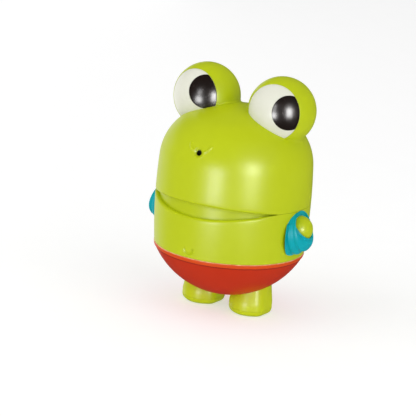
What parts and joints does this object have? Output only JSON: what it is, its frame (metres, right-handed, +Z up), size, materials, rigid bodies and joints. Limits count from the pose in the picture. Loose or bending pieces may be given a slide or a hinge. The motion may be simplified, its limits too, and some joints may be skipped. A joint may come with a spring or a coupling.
{
  "type": "bath toy frog",
  "caption": "Soft moulded frog squirter in swim trunks and arm bands, with a lift-off head and a squeaker under the trunks.",
  "frame": {"origin": "on the ground under the middle of the body, between the feet", "axes": "+Z up, the frog looks along -Y, its left is +X"},
  "size_m": [0.0616, 0.0516, 0.0809],
  "materials": {
    "skin": "satin moulded vinyl",
    "trunks": "satin moulded vinyl",
    "arm_bands": "satin moulded vinyl",
    "eye_white": "gloss",
    "pupil": "high gloss",
    "squeaker_plastic": "moulded",
    "reed_plate": "stamped",
    "reed": "rolled strip"
  },
  "bodies": {
    "lower body": {"belly_shell": "skin", "swim_trunks": "trunks", "left_foot": "skin", "right_foot": "skin", "left_arm": "skin", "right_arm": "skin", "left_arm_band": "arm_bands", "right_arm_band": "arm_bands", "squeaker_pot": "squeaker_plastic", "squeaker_reed_plate": "reed_plate", "squeaker_cap": "squeaker_plastic"},
    "head": {"head_shell": "skin", "left_eye": "eye_white", "right_eye": "eye_white", "left_pupil": "pupil", "right_pupil": "pupil"},
    "reed": {"squeaker_reed": "reed"}
  },
  "joints": [
    {"name": "head_pull", "type": "slide", "parent": "lower body", "child": "head", "axis": [0, 0, 1], "range_m": [0, 0.025]},
    {"name": "reed_flex", "type": "hinge", "parent": "lower body", "child": "reed", "pos_m": [0, -0.00185, 0.01103], "axis": [1, 0, 0], "range_deg": [0, 6], "stiffness_Nm_per_rad": 0.0001}
  ]
}
